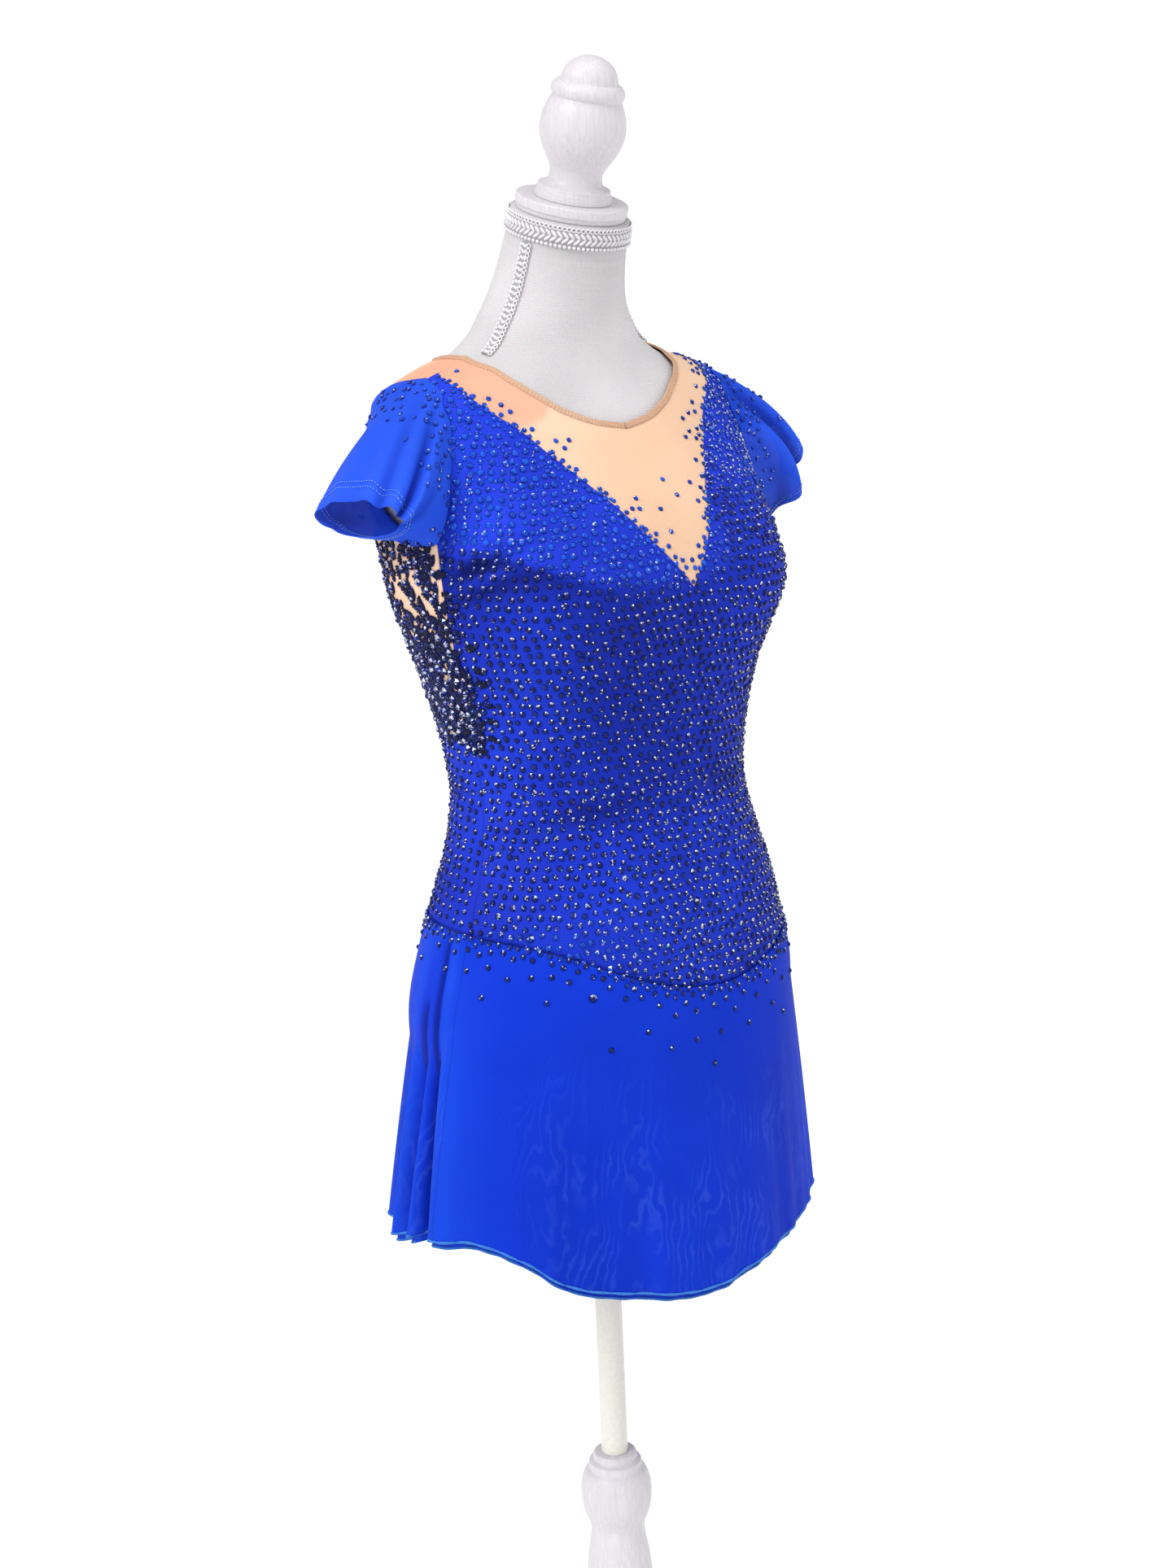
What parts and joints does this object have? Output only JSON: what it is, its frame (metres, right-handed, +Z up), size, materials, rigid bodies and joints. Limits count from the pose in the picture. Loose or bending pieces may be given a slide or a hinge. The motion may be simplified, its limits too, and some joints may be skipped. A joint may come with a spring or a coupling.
{
  "type": "figure skating dress on a limbless dress form with its stand",
  "caption": "Close-fitting blue skating dress with mesh V yoke, cap sleeves, side lace and short skirt, worn on a limbless dress form on a round-based stand.",
  "frame": {"origin": "centre of the stand's base on the floor", "axes": "+Z up, the front of the dress faces -Y, the wearer's left side is at +X"},
  "size_m": [0.4189, 0.32, 1.5754],
  "materials": {
    "form_jersey": "matt knitted cover over foam",
    "form_braid": "satin herringbone braid",
    "white_wood": "white satin paint, faint grain",
    "white_metal": "white semi-gloss paint",
    "blue_stretch": "soft sheen stretch knit set with small stones",
    "blue_mesh": "fine stretch mesh, soft sheen",
    "nude_mesh": "fine matt stretch mesh",
    "nude_binding": "matt stitched binding",
    "navy_lace": "beaded lace"
  },
  "bodies": {
    "root": {"form_torso": "form_jersey", "neck_braid": "form_braid", "side_braid_right": "form_braid", "side_braid_left": "form_braid", "bodice_front": "blue_stretch", "bodice_back": "blue_stretch", "yoke_front": "nude_mesh", "yoke_back": "nude_mesh", "neckline_binding": "nude_binding", "sleeve_right": "blue_mesh", "sleeve_left": "blue_mesh", "skirt_front": "blue_mesh", "skirt_back": "blue_mesh", "underskirt_front": "blue_mesh", "underskirt_back": "blue_mesh", "lace_right": "navy_lace", "lace_left": "navy_lace", "stand_base": "white_wood", "stand_column": "white_wood", "pole": "white_metal", "neck_cap": "white_wood", "finial": "white_wood"}
  },
  "joints": []
}
